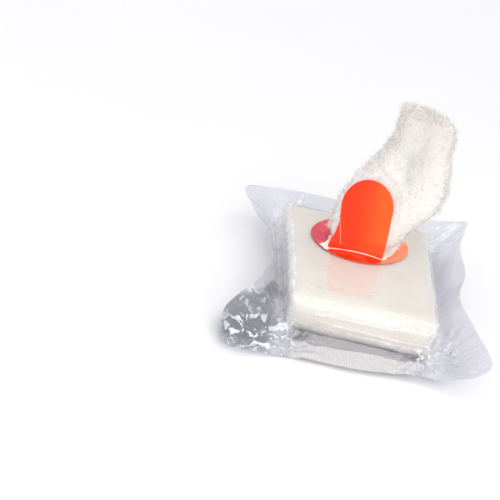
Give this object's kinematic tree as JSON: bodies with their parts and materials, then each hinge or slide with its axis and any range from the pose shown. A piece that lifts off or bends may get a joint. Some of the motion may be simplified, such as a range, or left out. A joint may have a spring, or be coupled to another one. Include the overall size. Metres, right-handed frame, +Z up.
{
  "type": "rolled gauze in an opened pouch",
  "caption": "Folded block of compressed gauze in a clear flanged film pouch, with its free end pulled up through a round label's torn-open tongue.",
  "frame": {"origin": "on the flat underside of the pouch, below the middle of the folded block", "axes": "+X to the right along the block's short side, +Y to the back along its long side, +Z up out of the underside through the label"},
  "size_m": [0.108, 0.1277, 0.076],
  "materials": {
    "gauze": "warm white open-weave cotton gauze, crinkled and fuzzy",
    "film": "clear glossy plastic film, wrinkled, heat sealed at its rim",
    "label": "thin translucent orange-red label film, satin gloss",
    "tongue": "bright orange-red label film, satin gloss"
  },
  "bodies": {
    "root": {"gauze_stack": "gauze", "gauze_tail": "gauze", "pouch_top_film": "film", "pouch_base_film": "film", "opening_label": "label", "pull_tab": "tongue"}
  },
  "joints": []
}
